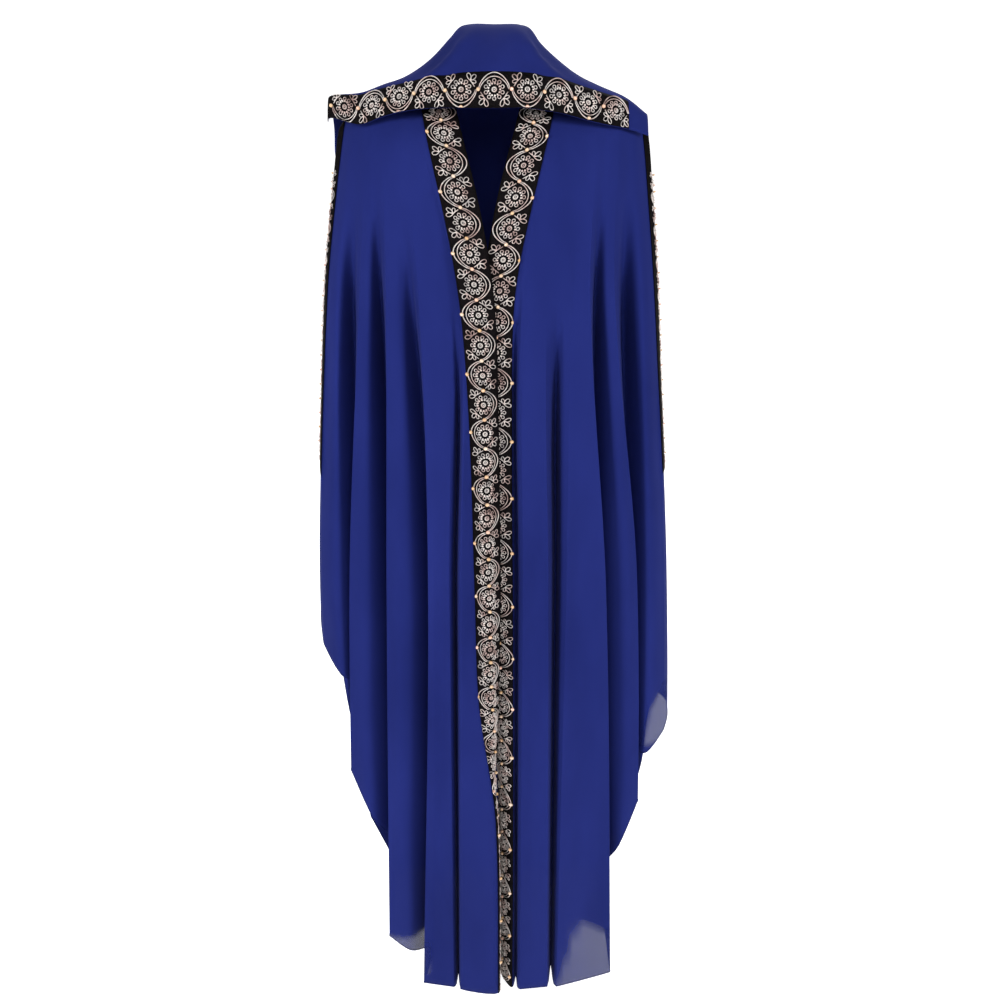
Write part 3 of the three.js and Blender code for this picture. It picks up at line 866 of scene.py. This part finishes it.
def placed_on(ribbon, part, centre, scale, edge_shift):
    """One part of a motif, shrunk and shifted across the ribbon, as points in space and faces."""
    points = part[0] * (scale, scale, 1)
    points[:, 0] += centre
    points[:, 1] += edge_shift
    return (ribbon.at(points), *part[1:])


def embroider(name, ribbon, materials, slot_name, scale=1.0, bare=0.0, edge_shift=0.0):
    """The threadwork and the beads along one ribbon, from its bare stretch on."""
    length = ribbon.length - bare
    count = max(1, round(length / (MOTIF_PITCH * scale)))
    pitch = length / count
    motifs = {bulge: rosette_motif(bulge) for bulge in (-1, 1)}
    threads, beads = [], []
    for k in range(count):
        thread, bead = motifs[1 if k % 2 == 0 else -1]
        centre = bare + (k + 0.5) * pitch
        threads += [placed_on(ribbon, part, centre, scale, edge_shift) for part in thread]
        beads += [placed_on(ribbon, part, centre, scale, edge_shift) for part in bead]
    kinds = [("thread", threads, materials["thread"]), ("beads", beads, materials["pearl"])]
    return [make_object(f"{name}_{kind}", parts, material, slot_name) for kind, parts, material in kinds]


def add_trim(name, node, grid, normals, materials, **work):
    """A galloon on a strip of a panel's grid: the ribbon with its threadwork and beads."""
    parts = [shell(grid, normals, TRIM_LIFT, TRIM_LIFT + RIBBON)]
    ground = make_object(f"{name}_ribbon", parts, materials["ribbon"], "galloon", [node])
    ribbon = Ribbon(grid, normals, TRIM_LIFT + RIBBON)
    return [ground, *embroider(name, ribbon, materials, "galloon", **work)]


# The garment
# place at the top and the bottom in fold spans, top z, bottom z, half width in spans, depth
RIGHT_FRONT_CREASES = [
    (5.45, 5.4, -330, -1400, 0.16, -3.5),
    (5.75, 5.7, -560, -1390, 0.1, 2.0),
    (7.5, 7.45, -300, -1330, 0.14, -3.0),
    (7.75, 7.7, -520, -1300, 0.1, 2.2),
    (9.5, 9.45, -260, -1080, 0.16, -3.2),
    (11.4, 11.45, -220, -900, 0.16, -3.0),
]
LEFT_FRONT_CREASES = [
    (4.5, 4.45, -450, -1390, 0.2, -2.5),
    (7.35, 7.4, -340, -1390, 0.14, -3.6),
    (7.7, 7.72, -500, -1390, 0.1, 2.4),
    (9.45, 9.5, -240, -1180, 0.14, -3.2),
    (9.75, 9.7, -420, -1120, 0.1, 2.0),
    (11.4, 11.45, -240, -1000, 0.16, -3.0),
]
BACK_CREASES = [
    (5.5, 5.5, -420, -1400, 0.18, -2.6),
    (8.5, 8.5, -400, -1400, 0.18, -2.8),
    (11.5, 11.55, -520, -1400, 0.16, -2.4),
    (14.5, 14.5, -380, -1400, 0.18, -2.6),
    (17.5, 17.45, -460, -1400, 0.16, -2.6),
    (20.5, 20.5, -420, -1400, 0.18, -3.0),
    (23.5, 23.5, -380, -1340, 0.18, -2.6),
]

# corners (x, z), anticlockwise, of the places where one layer hangs alone against the light
SHEER_PLACES = {
    "right_front": [[(-178, -1360), (-108, -1360), (-108, -1298), (-178, -1304)]],
    "left_front": [
        [(92, -1395), (195, -1395), (195, -1302), (168, -1280), (148, -1262), (128, -1266), (114, -1320)],
        [(228, -965), (285, -965), (285, -872), (262, -866), (240, -900)],
    ],
}
SHEER_EDGE = 16  # the width over which a sheer place fades in


def sheer_at(points, corners):
    """1 inside a convex outline and 0 outside it, over SHEER_EDGE."""
    inside = np.full(len(points), 1e9)
    for n, (x, z) in enumerate(corners):
        next_x, next_z = corners[(n + 1) % len(corners)]
        way = np.array([next_x - x, next_z - z], float)
        way /= np.linalg.norm(way)
        inside = np.minimum(inside, way[0] * (points[:, 2] - z) - way[1] * (points[:, 0] - x))
    return smooth(inside / SHEER_EDGE + 0.5)


def front_grid(folds, edge, side):
    """A front's grid and the places of its columns, the first fold at 3."""
    pleats, places = with_pleats(folds)
    lines = [fold_line(fold, "front") for fold in pleats]
    lines = [*edge_lines(edge), *lines, *side_lines(lines[-1], side, "front")]
    last = 3 + places[-1]
    places = [0, 1, 2, *(3 + place for place in places), last + 1, last + 2]
    return loft(lines, places, "front")


def back_grid():
    """The back's grid and the places of its columns, the first fold at 2."""
    pleats, places = with_pleats(BACK_FOLDS)
    lines = [fold_line(fold, "back") for fold in pleats]
    right = side_lines(lines[0], -1, "back")
    left = side_lines(lines[-1], 1, "back")
    last = 2 + places[-1]
    places = [0, 1, *(2 + place for place in places), last + 1, last + 2]
    return loft([*right[::-1], *lines, *left], places, "back")


def over_back(x, z, behind, above):
    def depth_at(height):
        return oval_depth("back", x, height, x)

    y = rolled(np.array([z], float), float(shoulder_z(x)), neck_y(x), depth_at)[0]
    return (x, y + behind, z + above)


# from x and stop to x and stop, half width and depth. The stops run 0 front edge, 1 border, 2 crown.
HOOD_CREASES = [
    (-34, 1.82, -104, 1.16, 6, -4.6),
    (-24, 1.6, -84, 1.06, 5, 2.8),
    (-16, 1.42, -66, 1.02, 5, -3.4),
    (-70, 2.4, -168, 1.9, 8, -3.6),
    (36, 1.84, 100, 1.2, 6, -4.6),
    (27, 1.62, 84, 1.08, 5, 2.8),
    (18, 1.46, 70, 1.03, 5, -3.4),
    (70, 2.5, 160, 1.9, 8, -3.4),
    (6, 1.1, 3, 1.7, 5, -1.8),
]
HOOD_STOP_LENGTH = 42  # millimetres from stop to stop, near enough for a crease's width
HOOD_PER_STOP = 7
HOOD_PER_STATION = 8
HOOD_SEAM_BEHIND = 1.2  # the neck seam lies this far behind the back panel's edge


def hood_grid():
    """The hood's grid, from the wearer's right to left and from the front edge round to the neck seam."""
    lines = []
    for station in HOOD:
        x, back_y, back_z = station[0], station[9], station[10]
        over = [(x, station[i], station[i + 1]) for i in range(1, 11, 2)]
        under = [over_back(x * w, back_z * d, behind, above) for w, d, behind, above in HOOD_UNDERSIDE]
        turn = ((under[0][0] + x) / 2, (under[0][1] + back_y) / 2, back_z - HOOD_FOLD_DROP)
        seam_x = x / HOOD[-1][0] * HOOD_SEAM_HALF_WIDTH
        seam = (seam_x, neck_y(seam_x) + HOOD_SEAM_BEHIND, SEAM_GAP + 0.1)
        stops = np.array([*over, turn, *under, seam])[:, None]
        lines.append(catmull(stops, np.linspace(0, 1, (len(stops) - 1) * HOOD_PER_STOP + 1))[:, 0])
    return catmull(lines, np.linspace(0, 1, (len(lines) - 1) * HOOD_PER_STATION + 1))


def crease_hood(grid, normals):
    """Presses the hood's soft creases into its upper face."""
    stop = (np.arange(grid.shape[1]) / HOOD_PER_STOP)[None, :]
    x = grid[..., 0]
    push = np.zeros(x.shape)
    for x0, stop0, x1, stop1, half, depth in HOOD_CREASES:
        way = np.array([x1 - x0, (stop1 - stop0) * HOOD_STOP_LENGTH])
        from_x, from_stop = x - x0, (stop - stop0) * HOOD_STOP_LENGTH
        share = np.clip((from_x * way[0] + from_stop * way[1]) / way.dot(way), 0, 1)
        apart = np.hypot(from_x - share * way[0], from_stop - share * way[1])
        push += depth * np.exp(-((apart / half) ** 2)) * smooth(0.4 + 0.6 * np.sin(math.pi * share))
    return grid + normals * push[..., None]


def cloth_piece(name, node, grid, normals, material, sheer_places=()):
    """A panel's shell with a rolled hem along its lower edge, and its sheer places marked."""
    hem = grid[:, -1] - normals[:, -1] * CLOTH / 2
    parts = [shell(grid, normals, -CLOTH, 0), tube(hem, HEM_ROLL)]
    made = make_object(name, parts, material, "chiffon", [node])
    points = np.concatenate([part[0] for part in parts])
    sheer = np.zeros(len(points))
    for corners in sheer_places:
        sheer = np.maximum(sheer, sheer_at(points, corners))
    layer = made.data.attributes.new(SHEER_LAYER, "FLOAT", "POINT")
    layer.data.foreach_set("value", sheer)
    return made


def squared(normals, columns):
    """Normals with no y part at the seams between front and back."""
    normals = normals.copy()
    normals[:, 0, 1] = 0
    for column in columns:
        normals[column, :, 1] = 0
    return normals / np.maximum(np.linalg.norm(normals, axis=2, keepdims=True), 1e-9)


def build():
    materials = {
        "chiffon": chiffon_material(),
        "ribbon": ribbon_material(),
        "thread": thread_material(),
        "pearl": pearl_material(),
    }
    panels = {}
    plan = [
        ("right_front", front_grid(RIGHT_FRONT_FOLDS, RIGHT_EDGE, -1), 1, RIGHT_FRONT_CREASES, [-1]),
        ("left_front", front_grid(LEFT_FRONT_FOLDS, LEFT_EDGE, 1), -1, LEFT_FRONT_CREASES, [-1]),
        ("back", back_grid(), 1, BACK_CREASES, [0, -1]),
    ]
    for name, (grid, places), outward, creases, seams in plan:
        grid = crease(grid, normals_of(grid, outward), places, creases)
        normals = squared(normals_of(grid, outward), seams)
        sheer = SHEER_PLACES.get(name, ())
        piece = cloth_piece(f"{name}_cloth", name, grid, normals, materials["chiffon"], sheer)
        panels[name] = (piece, grid, normals)
    edge_columns = 2 * COLUMNS_PER_SPAN + 1
    trims = {name: [] for name in panels}
    for name in ("right_front", "left_front"):
        _, grid, normals = panels[name]
        strip = slice(0, edge_columns)
        trims[name] += add_trim(f"{name}_trim", f"{name}_trim", grid[strip], normals[strip], materials)
    for side in ("right", "left"):
        rows = slice(0, ARM_ROWS[side] * ROWS_PER_STEP + 1)
        for face, panel in (("front", f"{side}_front"), ("back", "back")):
            first = panel == "back" and side == "right"
            strip = slice(0, edge_columns) if first else slice(-edge_columns, None)
            _, grid, normals = panels[panel]
            node = f"{side}_arm_trim_{face}"
            trims[panel] += add_trim(
                node,
                node,
                grid[strip, rows],
                normals[strip, rows],
                materials,
                scale=ARM_TRIM_SCALE,
                bare=ARM_TRIM_BARE,
                edge_shift=-ARM_TRIM_SHIFT if first else ARM_TRIM_SHIFT,
            )
    points = hood_grid()
    points = crease_hood(points, normals_of(points, 1))
    normals = normals_of(points, 1)
    hood = cloth_piece("hood_cloth", "hood", points, normals, materials["chiffon"])
    across = slice(0, HOOD_TRIM_STATION * HOOD_PER_STATION + 1)
    along = slice(0, HOOD_PER_STOP + 1)
    strip = points[across, along].swapaxes(0, 1)
    strip_normals = normals[across, along].swapaxes(0, 1)
    strip, strip_normals = strip[::-1], strip_normals[::-1]
    hood_trim = add_trim("hood_trim", "hood_trim", strip, strip_normals, materials, bare=HOOD_TRIM_BARE)


add_camera()
add_studio()
add_floor(cad_low[2] - FLOOR_DROP)
build()
